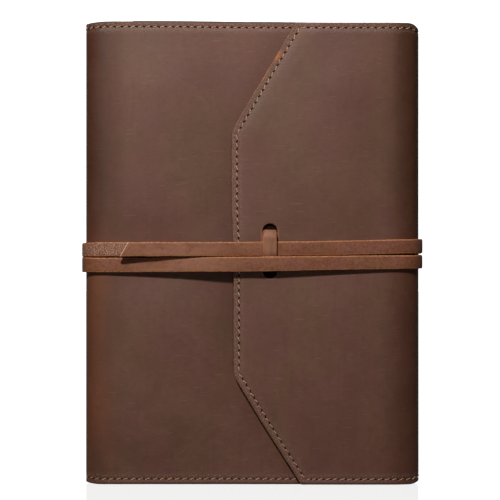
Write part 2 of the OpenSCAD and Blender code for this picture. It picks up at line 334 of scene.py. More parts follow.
BOTTOM_ROW, TOP_ROW = STITCH_IN, HEIGHT - STITCH_IN
front_stop = front_path.s_at_x(FRONT_END - STITCH_IN)
for row in (BOTTOM_ROW, TOP_ROW):
    front_skin.sew((0, row), (front_stop, row))
    spine_skin.sew((0, row), (spine_path.length, row))
    fore_skin.sew((0, row), (fore_path.length, row))
front_skin.sew((front_stop, BOTTOM_ROW), (front_stop, TOP_ROW))

inner_turn = SLANT_H + STITCH_IN * (math.hypot(SLANT, 1) - SLANT)
edge_s = flap_path.s_at_x(FLAP_EDGE + STITCH_IN)
end_s = flap_path.s_at_x(FLAP_EDGE + STITCH_IN + SLANT * (inner_turn - BOTTOM_ROW))
flap_skin.sew((0, BOTTOM_ROW), (end_s, BOTTOM_ROW))
flap_skin.sew((0, TOP_ROW), (end_s, TOP_ROW))
flap_skin.sew((end_s, BOTTOM_ROW), (edge_s, inner_turn))
flap_skin.sew((edge_s, inner_turn), (edge_s, HEIGHT - inner_turn))
flap_skin.sew((edge_s, HEIGHT - inner_turn), (end_s, TOP_ROW))


# ---- Meshes ---------------------------------------------------------------------
def mesh_object(name, points, faces, kinds, flat, mark, materials, smooth_shade=True):
    """An object from points in mm, with a material number for each face."""
    mesh = bpy.data.meshes.new(name)
    mesh.from_pydata((np.asarray(points) / 1000.0).tolist(), [], [list(map(int, f)) for f in faces])
    mesh.polygons.foreach_set("material_index", np.asarray(kinds, np.int32))
    mesh.polygons.foreach_set("use_smooth", np.full(len(faces), smooth_shade))
    for label, values in (("flat", flat), ("mark", mark)):
        layer = mesh.attributes.new(label, "FLOAT_VECTOR", "POINT")
        layer.data.foreach_set("vector", np.asarray(values, np.float32).ravel())
    for material in materials:
        mesh.materials.append(material)
    mesh.update()
    obj = bpy.data.objects.new(name, mesh)
    bpy.context.scene.collection.objects.link(obj)
    return obj


# Radius of a sheet's edges, and how close to a seam its second column lies
ROUND = 0.35
SEAM_STEP = 0.03


def grid(s, z):
    return np.meshgrid(s, z, indexing="ij")


def rim_profile(thick):
    """(reach outward, depth) down the edge of a sheet."""
    turn = np.radians([0, 30, 60, 90])
    top = [(ROUND * math.sin(a), ROUND * (1 - math.cos(a))) for a in turn]
    bottom = [(out, thick - down) for out, down in reversed(top)]
    return top + bottom


def seam_columns(s, z, keep, seams):
    """The grid with a second column close to each seam, so that smooth shading stops there."""
    for end, at, beside in ((0, 1, 1), (-1, -1, -2)):
        if any(abs(s[end, 0] - value) < 1e-6 for value in seams):
            extra = s[end] + SEAM_STEP * np.sign(s[beside] - s[end])
            s, z = np.insert(s, at, extra, axis=0), np.insert(z, at, z[end], axis=0)
            keep = np.insert(keep, end, keep[end], axis=0)
    return s, z, keep


def outward_at(border, s, z, at_seam):
    """At each point of a grid's border, the way out of the sheet and how much longer a step
    is round a corner; and which border edges are real edges, not seams."""
    run = np.stack([s[border[:, 1]] - s[border[:, 0]], z[border[:, 1]] - z[border[:, 0]]], 1)
    free = ~(at_seam[border[:, 0]] & at_seam[border[:, 1]])
    side = np.stack([run[:, 1], -run[:, 0]], 1)
    side /= np.maximum(np.linalg.norm(side, axis=1), 1e-9)[:, None]
    out = np.zeros((len(s), 2))
    for k in (0, 1):
        np.add.at(out, border[free, k], side[free])
    size = np.linalg.norm(out, axis=1)
    out[size > 0] /= size[size > 0][:, None]
    mitre = np.ones(len(s))
    mitre[size > 0] = np.clip(2.0 / np.maximum(size[size > 0], 1.0), 1.0, 1.35)
    mitre[at_seam & (size > 0)] = 1.0
    return out * mitre[:, None], free


def sheet(name, skin, s, z, materials, thick, keep=None, seams=(), top=0.0, painted_shade=None, wear=None):
    """A closed sheet of leather over a grid of flat coordinates. The grid stops ROUND
    short of each real edge. Edges at the lengths in seams are cut square."""
    keep = np.ones((s.shape[0] - 1, s.shape[1] - 1), bool) if keep is None else keep
    s, z, keep = seam_columns(s, z, keep, seams)
    columns, rows = s.shape
    index = np.arange(columns * rows).reshape(columns, rows)
    quads = np.stack([index[:-1, :-1], index[1:, :-1], index[1:, 1:], index[:-1, 1:]], -1)[keep]
    used = np.unique(quads)
    renumber = np.full(columns * rows, -1)
    renumber[used] = np.arange(len(used))
    quads = renumber[quads]
    s, z = s.ravel()[used], z.ravel()[used]
    count = len(used)

    edges = np.concatenate([quads[:, [k, (k + 1) % 4]] for k in range(4)])
    code = edges[:, 0] * count + edges[:, 1]
    back = edges[:, 1] * count + edges[:, 0]
    border = edges[~np.isin(code, back)]
    at_seam = np.zeros(count, bool)
    for value in seams:
        at_seam |= np.abs(s - value) < 1e-6
    out, free = outward_at(border, s, z, at_seam)

    depth = thick(s, z) if callable(thick) else np.full(count, float(thick))
    top = top(s, z) if callable(top) else np.full(count, float(top))
    rim = np.unique(border)
    place_in_rim = np.full(count, -1)
    place_in_rim[rim] = np.arange(len(rim))
    points = [skin.place(s, z, top)]
    flats = [skin.flat(s, z, top)]
    rings = [np.arange(count)[rim]]
    total = count
    profile = len(rim_profile(1.0))
    for k in range(1, profile - 1):
        reach, down = zip(*[rim_profile(t)[k] for t in depth[rim]])
        reach, down = np.array(reach), np.array(down)
        rough = 0.03 * waves(s[rim] * 3, z[rim] * 3 + 5 * k, 2.4, 40 + k, 6)
        reach = np.where(reach > 0.1, reach + rough, reach)
        rs = s[rim] + out[rim, 0] * reach
        rz = z[rim] + out[rim, 1] * reach
        points.append(skin.place(rs, rz, top[rim] + down))
        flats.append(skin.flat(rs, rz, top[rim] + down))
        rings.append(total + np.arange(len(rim)))
        total += len(rim)
    points.append(skin.place(s, z, top + depth))
    flats.append(skin.flat(s, z, top + depth))
    rings.append(total + rim)
    inner = quads[:, ::-1] + total
    rim_faces = []
    a, b = place_in_rim[border[:, 0]], place_in_rim[border[:, 1]]
    for k in range(len(rings) - 1):
        upper, lower = rings[k], rings[k + 1]
        rim_faces.append(np.stack([upper[b], upper[a], lower[a], lower[b]], 1))
    faces = np.concatenate([quads, inner] + rim_faces)
    kinds = np.concatenate([
        np.zeros(len(quads)), np.full(len(inner), 2), np.full(sum(map(len, rim_faces)), 1),
    ])
    points, flats = np.concatenate(points), np.concatenate(flats)
    fs, fz = flats[:, 0], flats[:, 1]
    fs = (fs - skin.u0) * skin.way
    mark = np.zeros((len(points), 3))
    mark[:, 0] = skin.sewn(fs, fz)[1]
    # The mark's second value is painted shade, darkening the leather's colour.
    if painted_shade is not None:
        mark[:, 1] = painted_shade(fs, fz)
    if wear is not None:
        mark[:, 2] = wear(fs, fz)
    first = points[faces[0]]
    facing = np.cross(first[1] - first[0], first[2] - first[0])
    outward = skin.path.at(fs[faces[0][0]])[1]
    if facing[0] * outward[0] + facing[1] * outward[1] < 0:
        faces = faces[:, ::-1]
    smooth_faces = np.concatenate([np.ones(2 * len(quads), bool), np.tile(free, len(rings) - 1)])
    return mesh_object(name, points, faces, kinds, flats, mark, materials, smooth_faces)


def steps(*marks):
    """A run of coordinates: (from, step), ..., end."""
    found = []
    for (start, step), after in zip(marks[:-1], marks[1:]):
        stop = after[0] if isinstance(after, tuple) else after
        count = max(1, round((stop - start) / step))
        found.append(np.linspace(start, stop, count, endpoint=False))
    return np.concatenate(found + [[marks[-1]]])


AT_STITCHES = [ROUND, 0.75, 1.2, 1.55, 1.85, 2.1, 2.35, 2.6, 2.85, 3.1, 3.35, 3.7, 4.3]


def edge_steps(middle):
    """Heights from the bottom edge to the top edge, close together at the stitches."""
    near = AT_STITCHES + [5.2, 6.5]
    far = np.linspace(8.2, HEIGHT - 8.2, round((HEIGHT - 16.4) / middle) + 1)
    return np.concatenate([near, far, HEIGHT - np.array(near)[::-1]])


# Strength of the painted shade round the spine and the fore edge, by height: weaker low down.
def spine_shade(z):
    return 0.55 + 0.45 * smooth(95, 150, z)


def fore_shade(z):
    return 0.75 + 0.25 * smooth(90, 160, z)


def painted_shade_for(skin):
    """Painted shade for a skin: most round the folds, where the face turns from the light, and a
    little beside the flap's free edge, with a painted shadow line along that edge and a dark band
    along the bottom rim."""

    def amount(s, z):
        x = skin.path.at(s)[0][..., 0]
        if skin is front_skin:
            # Painted shade where the leather turns round the spine, and beside the flap's free
            # edge, where the cover lies in the flap's shade.
            gap = edge_x(z) - x
            beside = np.exp(-(np.clip(gap - 1, 0, None) / 11) ** 1.3)
            shade = spine_shade(z) * (1 - smooth(-76, -57, x)) + 0.5 * beside
            # Painted shadow: a thin dark line just beside the flap's free edge.
            line = np.exp(-(((gap - 0.15) / 0.45) ** 2)) * smooth(50, 58, z)
            shade = np.maximum(shade, 1.45 * line * (1 - smooth(168, 176, z)))
        elif skin is flap_skin:
            # Painted shade on the flap, growing towards the fore edge, where its face turns from
            # the light.
            shade = 0.3 * smooth(18, 56, x) + 0.7 * smooth(61, 74, x + 1.2 * waves(z, 0 * z, 30, 9))
            shade = shade * fore_shade(z)
        else:
            # Painted shade round the spine and the fore edge, where the face turns from the light.
            shade = smooth(60, 78, np.abs(x)) * np.where(x < 0, spine_shade(z), fore_shade(z))
        # Painted shade along the bottom rim, which faces away from the light above.
        return np.maximum(shade, 1.25 * (1 - smooth(0.2, 1.7, z)))

    return amount


def spine_glow(s, z):
    """Tan patches where the front's leather is stretched over the spine, low down."""
    band = smooth(1, 9, s) * (1 - smooth(12, 26, s)) * (1 - smooth(100, 150, z))
    return 0.16 * band * np.clip(0.75 + 0.45 * waves(s, z * 0.35, 14, 8), 0, 1)


# ---- Node materials ---------------------------------------------------------------
def linear(r, g, b):
    """Linear colour from 0-255 screen values."""
    return tuple(
        c / 255 / 12.92 if c <= 10 else ((c / 255 + 0.055) / 1.055) ** 2.4 for c in (r, g, b)
    ) + (1.0,)


class Paint:
    """Builds one node material around a Principled shader."""

    def __init__(self, name, roughness=0.6, specular=0.5, **fixed):
        self.material = bpy.data.materials.new(name)
        self.material.use_nodes = True
        self.tree = self.material.node_tree
        self.shader = self.tree.nodes["Principled BSDF"]
        self.flat = self.attribute("flat")
        self.shader.inputs["Roughness"].default_value = roughness
        self.shader.inputs["Specular IOR Level"].default_value = specular
        for key, value in fixed.items():
            self.shader.inputs[key.replace("_", " ")].default_value = value

    def node(self, kind, settings=None, **inputs):
        made = self.tree.nodes.new("ShaderNode" + kind)
        for key, value in (settings or {}).items():
            setattr(made, key, value)
        for key, value in inputs.items():
            self.feed(made.inputs[key.replace("_", " ")], value)
        return made

    def feed(self, socket, value):
        if isinstance(value, bpy.types.NodeSocket):
            self.tree.links.new(value, socket)
        else:
            socket.default_value = value

    def attribute(self, name):
        return self.node("Attribute", {"attribute_name": name}).outputs["Vector"]

    def marks(self):
        """How much the surface is scuffed, how much painted shade it takes round the folds, by the
        flap's edge and along the bottom rim, and how worn it is.
        """
        return self.node("SeparateXYZ", None, Vector=self.attribute("mark")).outputs

    def scaled(self, source, x, y, z):
        return self.node("Mapping", None, Vector=source, Scale=(x, y, z)).outputs["Vector"]

    def noise(self, source, size, detail=2.0, rough=0.5, distort=0.0):
        """Noise with blotches of about this many mm, 0 to 1."""
        made = self.node(
            "TexNoise", None, Vector=source, Scale=1.0 / size, Detail=detail,
            Roughness=rough, Distortion=distort,
        )
        return made.outputs["Fac"]

    def level(self, value, low, high, to_low=0.0, to_high=1.0):
        made = self.node("MapRange", {"interpolation_type": "SMOOTHSTEP"}, Value=value)
        for key, number in zip(("From Min", "From Max", "To Min", "To Max"),
                               (low, high, to_low, to_high)):
            self.feed(made.inputs[key], number)
        return made.outputs["Result"]

    def math(self, operation, a, b=0.0):
        made = self.node("Math", {"operation": operation})
        self.feed(made.inputs[0], a)
        self.feed(made.inputs[1], b)
        return made.outputs[0]

    def mix(self, factor, a, b, blend="MIX"):
        made = self.node("Mix", {"data_type": "RGBA", "blend_type": blend})
        self.feed(made.inputs["Factor"], factor)
        self.feed(made.inputs[6], a)
        self.feed(made.inputs[7], b)
        return made.outputs[2]

    def ramp(self, value, low, high, first, second):
        """A colour that goes from the first to the second as the value rises."""
        return self.mix(self.level(value, low, high), linear(*first), linear(*second))

    def layer(self, color, value, low, high, share, over):
        """The colour with another laid over it where the value is high."""
        return self.mix(self.level(value, low, high, 0, share), color, linear(*over))

    def bump(self, height, distance_mm, strength=1.0, normal=None):
        made = self.node("Bump", None, Height=height, Strength=strength,
                         Distance=distance_mm / 1000.0)
        if normal is not None:
            self.feed(made.inputs["Normal"], normal)
        return made.outputs["Normal"]

    def set(self, **inputs):
        for key, value in inputs.items():
            self.feed(self.shader.inputs[key.replace("_", " ")], value)
        return self.material


def cover_leather(name):
    """Waxed pull-up leather: soft blotches, fine mottle, faint marks, paler where it wears, and
    darker where the mark paints shade.
    """
    p = Paint(name, roughness=0.6, specular=0.6)
    flat = p.flat
    scuff, painted_shade, wear = p.marks()
    broad = p.noise(flat, 70, 2, 0.5, 0.4)
    blotch = p.noise(flat, 17, 3, 0.55, 0.8)
    tint = p.noise(p.scaled(flat, 1, 0.6, 1), 26, 3, 0.5, 0.5)
    mottle = p.noise(flat, 3.2, 4, 0.6)
    fine = p.noise(flat, 0.7, 3, 0.6)
    streak = p.noise(p.scaled(flat, 1, 0.09, 1), 2.6, 3, 0.5)
    color = p.ramp(broad, 0.3, 0.7, (104, 66, 46), (116, 74, 53))
    color = p.layer(color, blotch, 0.35, 0.7, 0.5, (124, 83, 62))
    color = p.layer(color, tint, 0.4, 0.62, 0.45, (114, 66, 60))
    color = p.layer(color, tint, 0.5, 0.28, 0.32, (102, 74, 50))
    color = p.layer(color, mottle, 0.42, 0.75, 0.28, (84, 52, 36))
    color = p.layer(color, streak, 0.5, 0.8, 0.20, (86, 50, 36))
    scratch = p.noise(p.scaled(flat, 0.12, 1.6, 1), 1.0, 2, 0.5)
    color = p.layer(color, scratch, 0.63, 0.73, 0.38, (148, 110, 90))
    spot = p.noise(flat, 2.2, 2, 0.5)
    color = p.layer(color, spot, 0.66, 0.76, 0.35, (80, 48, 36))
    color = p.layer(color, fine, 0.55, 0.8, 0.12, (150, 108, 86))
    # Painted shade from the mark: darker round the folds, beside the flap's free edge and along the
    # bottom rim; values above 1 paint the shadow line by the flap's free edge.
    color = p.mix(p.level(painted_shade, 0.0, 0.7), color, (0.74, 0.60, 0.46, 1.0), "MULTIPLY")
    color = p.mix(p.level(painted_shade, 0.6, 1.0), color, (0.74, 0.68, 0.58, 1.0), "MULTIPLY")
    color = p.mix(p.level(painted_shade, 1.0, 2.0), color, (0.35, 0.28, 0.2, 1.0), "MULTIPLY")
    worn = p.math("MULTIPLY", wear, p.level(mottle, 0.3, 0.6, 0.35, 1.0))
    color = p.mix(worn, color, linear(188, 104, 46))
    rubbed = p.math("MULTIPLY", scuff, p.level(p.noise(flat, 0.75, 3, 0.7), 0.46, 0.60, 0.0, 0.72))
    color = p.mix(rubbed, color, linear(160, 128, 112))
    grain = p.math("ADD", p.math("MULTIPLY", fine, 0.5), mottle)
    pores = p.node("TexVoronoi", {"feature": "DISTANCE_TO_EDGE"}, Vector=flat, Scale=1.15)
    creases = p.level(pores.outputs["Distance"], 0.0, 0.16)
    bump = p.bump(creases, 0.03, 0.35)
    bump = p.bump(grain, 0.09, 0.6, bump)
    rough = p.level(blotch, 0.3, 0.7, 0.56, 0.66)
    return p.set(Base_Color=color, Roughness=rough, Normal=bump)


def raw_edge(name, pale, dark, size=1.0):
    """Cut edge of leather: fibres in layers along the cut."""
    p = Paint(name, roughness=0.75, specular=0.3)
    flat = p.flat
    fibre = p.noise(p.scaled(flat, 0.6, 0.6, 3.0), 0.9 * size, 4, 0.65)
    patch = p.noise(flat, 6 * size, 3, 0.6)
    color = p.ramp(fibre, 0.35, 0.65, dark, pale)
    color = p.layer(color, patch, 0.45, 0.7, 0.5, dark)
    return p.set(Base_Color=color, Normal=p.bump(fibre, 0.15, 0.7))


def flesh_leather(name, pale, dark):
    """Flesh side: short nap in soft patches."""
    p = Paint(name, roughness=0.85, specular=0.2)
    flat = p.flat
    nap = p.noise(flat, 0.55, 4, 0.7)
    patch = p.noise(flat, 12, 3, 0.6, 0.5)
    color = p.ramp(patch, 0.3, 0.7, dark, pale)
    color = p.layer(color, nap, 0.5, 0.75, 0.4, pale)
    return p.set(Base_Color=color, Normal=p.bump(nap, 0.14, 0.7))


def strap_leather(name):
    """The strap's redder, coarser face."""
    p = Paint(name, roughness=0.62, specular=0.45)
    flat = p.flat
    rough_side, _, wear = p.marks()
    blotch = p.noise(p.scaled(flat, 0.45, 1, 1), 7, 3, 0.6, 0.6)
    tint = p.noise(p.scaled(flat, 0.5, 1.4, 1), 9, 2, 0.5)
    mottle = p.noise(flat, 1.5, 4, 0.65)
    speck = p.noise(flat, 0.5, 3, 0.6)
    color = p.ramp(blotch, 0.3, 0.7, (128, 67, 37), (147, 90, 58))
    color = p.layer(color, tint, 0.4, 0.65, 0.45, (140, 84, 72))
    color = p.layer(color, tint, 0.5, 0.3, 0.35, (124, 88, 50))
    color = p.layer(color, mottle, 0.42, 0.70, 0.55, (90, 50, 34))
    color = p.layer(color, speck, 0.52, 0.70, 0.42, (192, 136, 104))
    nap = p.noise(flat, 0.5, 2, 0.5)
    cross = p.ramp(nap, 0.43, 0.59, (98, 52, 36), (206, 152, 126))
    cross = p.layer(cross, mottle, 0.35, 0.7, 0.5, (122, 74, 52))
    color = p.mix(rough_side, color, cross)
    # The wear mark lightens the strap: real wear, and on the front-lying pieces also a painted
    # highlight.
    worn = p.math("MULTIPLY", wear, p.level(blotch, 0.3, 0.6, 0.4, 1.0))
    color = p.mix(worn, color, linear(178, 124, 92))
    height = p.math("ADD", mottle, p.math("MULTIPLY", speck, 0.6))
    return p.set(Base_Color=color, Normal=p.bump(height, 0.16, 0.7))


def thread_paint(name):
    p = Paint(name, roughness=0.6, specular=0.4)
    flat = p.flat
    shade = p.noise(flat, 0.8, 2, 0.5)
    color = p.ramp(shade, 0.3, 0.7, (178, 136, 104), (224, 185, 152))
    return p.set(Base_Color=color, Normal=p.bump(p.noise(flat, 0.15, 2), 0.05, 0.5))


def painted_shadow_paint(name):
    """Painted shadow: near-black brown, put where a hole shows only shade."""
    p = Paint(name, roughness=0.9, specular=0.1)
    flat = p.flat
    shade = p.noise(flat, 0.5, 2, 0.5)
    return p.set(Base_Color=p.ramp(shade, 0.3, 0.7, (24, 12, 8), (44, 25, 17)))


def paper_paint(name):
    p = Paint(name, roughness=0.9, specular=0.15)
    flat = p.flat
    tooth = p.noise(flat, 0.6, 3, 0.6)
    tone = p.noise(flat, 30, 2)
    color = p.ramp(tone, 0.3, 0.7, (240, 234, 219), (243, 237, 223))
    return p.set(Base_Color=color, Normal=p.bump(tooth, 0.03, 0.4))


def board_paint(name):
    """Dark book cloth over card: a fine weave."""
    p = Paint(name, roughness=0.7, specular=0.35)
    flat = p.flat
    tone = p.noise(flat, 9, 3)
    warp = p.node("TexWave", {"bands_direction": "X"}, Vector=flat, Scale=0.75, Distortion=0.6)
    weft = p.node("TexWave", {"bands_direction": "Y"}, Vector=flat, Scale=0.75, Distortion=0.6)
    weave = p.math("MULTIPLY", warp.outputs["Fac"], weft.outputs["Fac"])
    color = p.ramp(tone, 0.3, 0.7, (38, 34, 32), (52, 46, 43))
    color = p.layer(color, weave, 0.2, 0.9, 0.4, (78, 70, 65))
    return p.set(Base_Color=color, Normal=p.bump(weave, 0.08, 0.6))


COVER = cover_leather("cover_face")
COVER_EDGE = raw_edge("cover_cut_edge", (96, 70, 52), (52, 38, 30))
FLAP_CUT = raw_edge("flap_cut_edge", (168, 122, 92), (112, 74, 54))
COVER_FLESH = flesh_leather("cover_flesh", (134, 96, 72), (106, 72, 52))
LINING = flesh_leather("lining_face", (122, 84, 63), (109, 74, 55))
# The lining's hidden outer face is near-black: painted shadow for what shows down the flap's holes.
LINING_BACK_SHADOW = painted_shadow_paint("lining_back_painted_shadow")
LINING_EDGE = raw_edge("lining_cut_edge", (150, 112, 88), (104, 74, 56))
# The sleeves' cut edge and outer face are painted dark grey: painted shade for the thin band that
# shows above the cover's top edge.
SLEEVE_EDGE = raw_edge("sleeve_cut_edge", (92, 74, 62), (62, 48, 40))
SLEEVE = cover_leather("sleeve_face")
STRAP = strap_leather("strap_face")
STRAP_CUT = raw_edge("strap_cut_edge", (214, 146, 96), (150, 90, 56), 0.7)
STRAP_FLESH = flesh_leather("strap_flesh", (164, 116, 88), (128, 82, 60))
STRAP_TIP = raw_edge("strap_tip_cut", (230, 190, 154), (206, 158, 122), 0.6)
THREAD = thread_paint("waxed_thread")
# Painted shadow for the needle holes.
NEEDLE_HOLE_SHADOW = painted_shadow_paint("needle_hole_painted_shadow")
PAPER = paper_paint("page_paper")
BOARD = board_paint("refill_board")


def settle(obj, slot, replaces=(), ride=None, blend=None):
    """Hides the CAD nodes that the piece replaces, and hangs it on the body that carries it, or
    else bakes its place.
    The finish's name (slot) and the joint (blend) are not used.
    """
    if replaces:
        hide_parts(*replaces)
    if ride:
        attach(obj, ride)
    else:
        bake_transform(obj)
    return obj


# Each fold bends between the middle of its side strip and the start of the flat panel
MID_Z = HEIGHT / 2
BEND_SPINE_FRONT = ("spine", "front", (X_SPINE, Y_MID, MID_Z), (X_SPINE + 11, Y_FRONT, MID_Z))
BEND_BACK_SPINE = ("back", "spine", (X_SPINE + 11, Y_BACK, MID_Z), (X_SPINE, Y_MID, MID_Z))
BEND_BACK_FORE = ("back", "fore_edge", (X_FORE - 11, Y_BACK, MID_Z), (X_FORE, Y_FORE_MID, MID_Z))
BEND_FORE_FLAP = ("fore_edge", "flap", (X_FORE, Y_FORE_MID, MID_Z), (X_FORE - 15, Y_FLAP, MID_Z))

# ---- Cover ----------------------------------------------------------------------
rows = edge_steps(2.0)
front_end_s = front_path.s_at_x(FRONT_END)
s, z = grid(
    steps((0, 0.72), (front_path.s_at_x(-12.5), 0.3), (front_path.s_at_x(-8), 0.8),
          (front_path.s_at_x(26), 1.3), (front_end_s - 6, 0.45), front_end_s - ROUND),
    rows,
)
settle(
    sheet("front_panel", front_skin, s, z, [COVER, COVER_EDGE, COVER_FLESH], LEATHER,
          seams=(0,), painted_shade=painted_shade_for(front_skin), wear=spine_glow),
    "cover_leather", ["front_cover"], blend=BEND_SPINE_FRONT,
)
s, z = grid(steps((0, 0.9), spine_path.length), rows)
settle(
    sheet("back_panel_spine_side", spine_skin, s, z, [COVER, COVER_EDGE, COVER_FLESH],
          LEATHER, seams=(0, spine_path.length), painted_shade=painted_shade_for(spine_skin)),
    "cover_leather", ["back_cover", "spine_leather"], blend=BEND_BACK_SPINE,
)
s, z = grid(steps((0, 0.9), fore_path.length), rows)
settle(
    sheet("back_panel_fore_side", fore_skin, s, z, [COVER, COVER_EDGE, COVER_FLESH],
          LEATHER, seams=(0, fore_path.length), painted_shade=painted_shade_for(fore_skin)),
    "cover_leather", ["fore_edge_leather"], blend=BEND_BACK_FORE,
)


bar_s = flap_path.s_at_x(BAR_X)
HOLE_SHARE = bar_s / (flap_path.s_at_x(FLAP_EDGE) - 7)


def flap_grid(pull_in, near, coarse, fine, row_values):
    """Flat coordinates of the flap, with columns that follow its free edge."""
    z = np.array(row_values)
    x_edge = flap_edge_x(z)
    run = np.gradient(x_edge, z)
    edge = flap_path.s_at_x(x_edge)
    lean = np.hypot(1, run)
    last = edge - (near[-1] + pull_in) * lean
    shares = steps((0, coarse), (HOLE_SHARE - 0.07, fine), (HOLE_SHARE + 0.07, coarse), 1)[:-1]
    inner = shares[:, None] * last[None, :]
    outer = edge[None, :] - (np.array(near)[::-1, None] + pull_in) * lean[None, :]
    s = np.concatenate([inner, outer])
    return s, np.broadcast_to(z, s.shape).copy()


def cut_holes(s, z, centres, radius):
    """Cells left after round holes are cut, with the cells' corners moved onto the rims."""
    keep = np.ones((s.shape[0] - 1, s.shape[1] - 1), bool)
    for cs, cz in centres:
        far = np.hypot(s - cs, z - cz)
        inside = far < radius - 0.2
        bad = inside[:-1, :-1] | inside[1:, :-1] | inside[1:, 1:] | inside[:-1, 1:]
        keep &= ~bad
        touched = np.zeros(s.shape, bool)
        for di in (0, 1):
            for dj in (0, 1):
                touched[di:s.shape[0] - 1 + di, dj:s.shape[1] - 1 + dj] |= bad
        rim = touched & ~inside
        scale = radius / far[rim]
        s[rim] = cs + (s[rim] - cs) * scale
        z[rim] = cz + (z[rim] - cz) * scale
    return keep


near_edge = [0, 0.4, 0.85, 1.2, 1.5, 1.75, 2.0, 2.25, 2.5, 2.8, 3.2, 3.9, 5.0, 6.6]
near_rows = AT_STITCHES + [5.0]
flap_rows = np.concatenate([
    near_rows, steps((5.8, 1.1), (FINE_FROM, 0.5), (FINE_TO, 1.1), HEIGHT - 5.8),
    HEIGHT - np.array(near_rows)[::-1],
])
s, z = flap_grid(ROUND, near_edge, 0.0107, 0.0048, flap_rows)
keep = cut_holes(s, z, [(bar_s, UPPER_HOLE), (bar_s, LOWER_HOLE)], HOLE_R + ROUND)


def flap_thick(s, z):
    """The flap's leather, pared a little towards its free edge."""
    inside = flap_path.s_at_x(flap_edge_x(z)) - s
    return LEATHER - 0.35 * (1 - smooth(0, 12, inside))


def flap_wear(s, z):
    """Worn patches along the upper slant, and round the bar's holes."""
    inside = flap_path.s_at_x(flap_edge_x(z)) - s
    x = FLAP_EDGE + (flap_path.s_at_x(FLAP_EDGE) - s)
    top = HEIGHT - z
    patch = 1.2 * np.exp(-(((top - 16.5) / 2.4) ** 2) - (inside / 2.4) ** 2)
    line = np.exp(-(((top - 27) / 5.0) ** 2) - (inside / 0.9) ** 2)
    ring = np.abs(np.hypot(x - BAR_X, z - UPPER_HOLE) - HOLE_R - 0.2)
    hole = 0.35 * np.exp(-((ring / 0.5) ** 2)) * (z < UPPER_HOLE + 2)
    rubbed = np.exp(-(((np.abs(x - BAR_X) - 3.9) / 0.45) ** 2))
    rubbed *= 0.7 * smooth(116, 118, z) * (1 - smooth(UPPER_HOLE - 1, UPPER_HOLE + 1.5, z))
    return np.clip(patch + line + hole + rubbed, 0, 1)


settle(
    sheet("flap", flap_skin, s, z, [COVER, FLAP_CUT, COVER_FLESH], flap_thick, keep=keep,
          seams=(0,), painted_shade=painted_shade_for(flap_skin), wear=flap_wear),
    "cover_leather", ["flap_leather"], blend=BEND_FORE_FLAP,
)

# ---- Linings, sleeves and the refill notebook ------------------------------------
def plain_rows(low, high, step, fine=None):
    """Heights for a sheet with no stitches of its own."""
    near = np.array([0, 0.9, 2.0, 3.2, 4.5, 6.0, 7.6])
    far = steps((low + 9.4, step), (FINE_FROM, fine or step), (FINE_TO, step), high - 9.4)
    return np.concatenate([low + near, far, high - near[::-1]])


inside_flap = Skin(flap_path, flap_swell, flap_skin.u0, -1)
s, z = flap_grid(1.0, [0, 1.2, 2.6, 4.4, 6.8, 9.8], 0.02, 0.008,
                 plain_rows(0.9, HEIGHT - 0.9, 2.2, 0.8))
# The lining's hidden outer face takes the near-black painted shadow that shows down the flap's
# holes.
settle(
    sheet("flap_lining_leather", inside_flap, s, z, [LINING_BACK_SHADOW, LINING_EDGE, LINING], LINING_T,
          seams=(0,), top=flap_thick),
    "lining_leather", ["flap_lining"], blend=BEND_FORE_FLAP,
)
inside_fore = Skin(fore_path, back_swell, fore_skin.u0, -1)
s, z = grid(
    steps((fore_path.length - 16, 0.8), fore_path.length), plain_rows(0.9, HEIGHT - 0.9, 2.2)
)
settle(
    sheet("fore_edge_lining_leather", inside_fore, s, z, [LINING, LINING_EDGE, LINING], LINING_T,
          seams=(fore_path.length,), top=LEATHER),
    "lining_leather", ["fore_edge_lining"], blend=BEND_BACK_FORE,
)

SLEEVE_TOP = HEIGHT + 0.35


def pocket(skin_path, last_x):
    """Depth of a sleeve's hidden face: against the cover at its seams, over the board inside."""
    end = skin_path.s_at_x(last_x)

    def depth(s, z):
        up = smooth(3.2, 6.6, np.minimum(z, HEIGHT - z))
        return LEATHER + 0.05 + BOARD_T * up * smooth(2.4, 4.4, end - s)

    return depth


def sleeve_swell(x, z):
    return -SEAM_DIP * smooth(SEAM_FROM, FRONT_END, x)


front_inside = Skin(front_path, sleeve_swell, 400.0, 1)
s, z = grid(
    steps((front_path.s_at_x(SLEEVE_LEFT), 1.6), (front_end_s - 9, 0.7), front_end_s - 0.4),
    plain_rows(0.5, SLEEVE_TOP - ROUND, 2.2),
)
settle(
    sheet("front_sleeve_leather", front_inside, s, z, [SLEEVE_EDGE, SLEEVE_EDGE, SLEEVE], SLEEVE_T,
          top=pocket(front_path, FRONT_END)),
    "sleeve_leather", ["front_sleeve"], ride="front",
)
back_line = Path([(SLEEVE_LEFT, Y_BACK), (SIDE_X - 8, Y_BACK)], 1, 0)
back_inside = Skin(back_line, no_swell, 600.0, -1)
s, z = grid(
    steps((0, 1.6), (back_line.length - 9, 0.7), back_line.length),
    plain_rows(0.5, SLEEVE_TOP - ROUND - 0.2, 2.2),
)
settle(
    sheet("back_sleeve_leather", back_inside, s, z, [SLEEVE_EDGE, SLEEVE_EDGE, SLEEVE], SLEEVE_T,
          top=pocket(back_line, SIDE_X - 8)),
    "sleeve_leather", ["back_sleeve"], ride="back",
)


def corner_outline(x0, x1, z0, z1, radius, inset):
    """A rectangle whose two right-hand corners are round, pulled in by inset."""
    r = radius
    points = [(x0 + inset, z0 + inset)]
    for cx, cz, a0 in ((x1 - r, z0 + r, -90), (x1 - r, z1 - r, 0)):
        for a in np.radians(np.linspace(a0, a0 + 90, 9)):
            points.append((cx + (r - inset) * math.cos(a), cz + (r - inset) * math.sin(a)))
    points.append((x0 + inset, z1 - inset))
    return points


